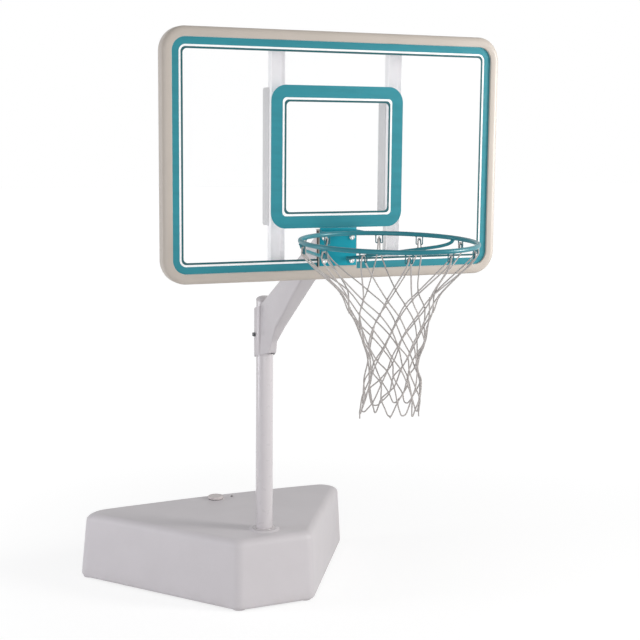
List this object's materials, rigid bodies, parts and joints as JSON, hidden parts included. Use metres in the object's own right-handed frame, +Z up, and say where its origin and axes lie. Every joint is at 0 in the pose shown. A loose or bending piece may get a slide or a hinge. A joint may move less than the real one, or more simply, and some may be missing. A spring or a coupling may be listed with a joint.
{
  "type": "pool basketball hoop",
  "caption": "Poolside basketball hoop with a clear framed backboard, a steel rim and net, and an adjustable offset pole that stands in a water-filled base.",
  "frame": {"origin": "on the floor under the pole, at the middle of the foot pad below the pole's socket", "axes": "+Z up along the pole, -Y forward towards the player and the rim, +X to the right of a player who faces the board"},
  "size_m": [1.041, 1.6274, 1.8357],
  "materials": {
    "moulded_base": "blow-moulded polyethylene, fine matte grain",
    "water": "still water",
    "grey_plastic": "moulded plastic, satin",
    "rubber": "matte black rubber",
    "painted_steel": "light grey powder coat, satin",
    "dark_steel": "blackened steel",
    "moulded_frame": "moulded plastic, satin",
    "clear_sheet": "clear polycarbonate sheet, polished",
    "teal_print": "screen-printed ink, satin",
    "light_alloy": "white-painted aluminium channel",
    "zinc_steel": "bright zinc plate",
    "teal_plate": "teal powder coat, satin",
    "teal_steel": "teal powder coat, satin",
    "net_cord": "braided nylon cord, off-white"
  },
  "bodies": {
    "base": {"base_tank": "moulded_base", "ballast_water": "water", "pole_bushing": "grey_plastic"},
    "cap": {"fill_cap": "grey_plastic", "fill_gasket": "rubber"},
    "pole": {"pole_tube": "painted_steel", "pole_top_cap": "grey_plastic", "pole_foot_plug": "grey_plastic"},
    "carriage": {"arm_channel": "painted_steel", "arm_mount_plate": "painted_steel", "backboard_frame": "moulded_frame", "border_band": "teal_print", "border_line": "teal_print", "brace_left": "teal_steel", "brace_right": "teal_steel", "clear_panel": "clear_sheet", "net": "net_cord", "net_hook_01": "teal_steel", "net_hook_02": "teal_steel", "net_hook_03": "teal_steel", "net_hook_04": "teal_steel", "net_hook_05": "teal_steel", "net_hook_06": "teal_steel", "net_hook_07": "teal_steel", "net_hook_08": "teal_steel", "net_hook_09": "teal_steel", "net_hook_10": "teal_steel", "net_hook_11": "teal_steel", "net_hook_12": "teal_steel", "pole_saddle": "grey_plastic", "rear_sleeve": "painted_steel", "rim_bolt_1": "zinc_steel", "rim_bolt_2": "zinc_steel", "rim_bolt_3": "zinc_steel", "rim_bolt_4": "zinc_steel", "rim_bracket": "teal_plate", "rim_nut_1": "zinc_steel", "rim_nut_2": "zinc_steel", "rim_nut_3": "zinc_steel", "rim_nut_4": "zinc_steel", "rim_ring": "teal_steel", "rim_washer_1": "zinc_steel", "rim_washer_2": "zinc_steel", "rim_washer_3": "zinc_steel", "rim_washer_4": "zinc_steel", "stiffener_left": "light_alloy", "stiffener_right": "light_alloy", "target_band": "teal_print", "target_line": "teal_print", "upright_left": "light_alloy", "upright_right": "light_alloy", "upright_screw_1": "zinc_steel", "upright_screw_2": "zinc_steel", "upright_screw_3": "zinc_steel", "upright_screw_4": "zinc_steel"},
    "lock": {"lock_screw": "dark_steel"}
  },
  "joints": [
    {"name": "pole_turn", "type": "hinge", "parent": "base", "child": "pole", "pos_m": [0, 0, 0], "axis": [0, 0, 1], "continuous": true},
    {"name": "height_slide", "type": "slide", "parent": "pole", "child": "carriage", "axis": [0, 0, 1], "range_m": [-0.45, 0]},
    {"name": "lock_travel", "type": "slide", "parent": "carriage", "child": "lock", "axis": [-1, 0, 0], "range_m": [0, 0.005]},
    {"name": "cap_lift", "type": "slide", "parent": "base", "child": "cap", "axis": [0, 0, 1], "range_m": [0, 0.03]}
  ]
}
